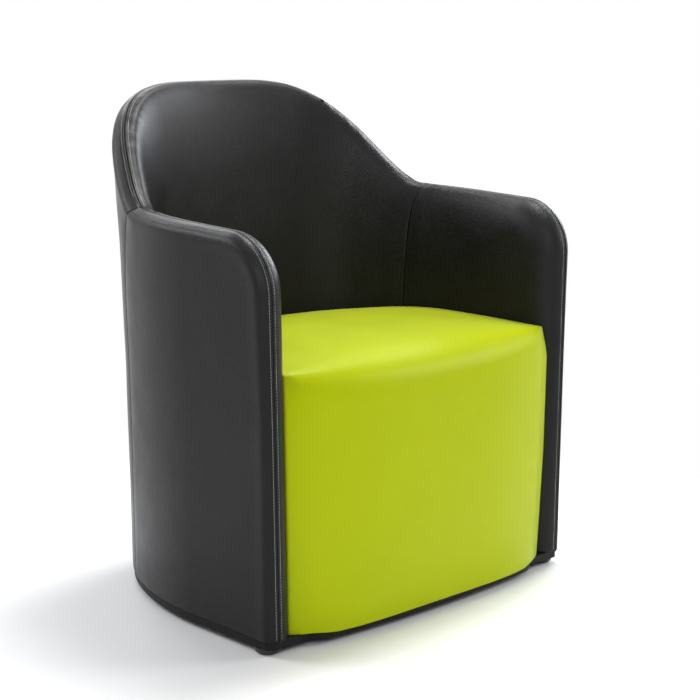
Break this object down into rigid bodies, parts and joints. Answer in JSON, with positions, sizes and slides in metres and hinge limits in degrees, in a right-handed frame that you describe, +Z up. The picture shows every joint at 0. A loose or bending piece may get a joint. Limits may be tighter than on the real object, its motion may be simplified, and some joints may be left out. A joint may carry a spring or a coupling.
{
  "type": "club chair",
  "caption": "Upholstered tub club chair: a horseshoe shell with low arms rising to a high back, round a crowned seat block with a bowed front, on low round glides.",
  "frame": {"origin": "on the floor, under the centre of the chair's bounding box", "axes": "+Z up, the seat's front faces -Y, +X to the right seen from behind the front edge looking along +Y; the YZ plane is the plane of symmetry"},
  "size_m": [0.6598, 0.5548, 0.78],
  "materials": {
    "shell_leatherette": "soft sheen, fine pebble grain",
    "seat_leatherette": "soft sheen, smooth fine grain",
    "foam": "matte open-cell foam",
    "webbing": "woven",
    "glide_plastic": "satin",
    "steel": "zinc plated",
    "black_board": "black satin paint",
    "frame_wood": "planed beech",
    "plywood": "sanded birch plywood"
  },
  "bodies": {
    "root": {"back_centre_post": "frame_wood", "back_top_rail": "frame_wood", "base_board": "black_board", "bottom_ring": "plywood", "corner_blocks": "frame_wood", "crossways_webbing": "webbing", "front_left_glide": "glide_plastic", "front_right_glide": "glide_plastic", "glide_nuts": "steel", "inner_skin_board": "plywood", "inside_back_cover": "shell_leatherette", "inside_back_foam": "foam", "left_arm_rail": "frame_wood", "left_front_post": "frame_wood", "left_inside_arm_cover": "shell_leatherette", "left_inside_arm_foam": "foam", "left_middle_post": "frame_wood", "left_outside_arm_cover": "shell_leatherette", "left_outside_arm_foam": "foam", "left_wing_post": "frame_wood", "left_wing_rail": "frame_wood", "lengthways_webbing": "webbing", "outer_skin_board": "plywood", "outside_back_cover": "shell_leatherette", "outside_back_foam": "foam", "rear_left_glide": "glide_plastic", "rear_right_glide": "glide_plastic", "right_arm_rail": "frame_wood", "right_front_post": "frame_wood", "right_inside_arm_cover": "shell_leatherette", "right_inside_arm_foam": "foam", "right_middle_post": "frame_wood", "right_outside_arm_cover": "shell_leatherette", "right_outside_arm_foam": "foam", "right_wing_post": "frame_wood", "right_wing_rail": "frame_wood", "seat_back_panel": "plywood", "seat_bolts": "steel", "seat_bow_board": "plywood", "seat_cover": "seat_leatherette", "seat_foam": "foam", "seat_front_foam": "foam", "seat_front_formers": "plywood", "seat_front_panel": "plywood", "seat_left_panel": "plywood", "seat_left_rear_panel": "plywood", "seat_right_panel": "plywood", "seat_right_rear_panel": "plywood", "shell_screws": "steel"}
  },
  "joints": []
}
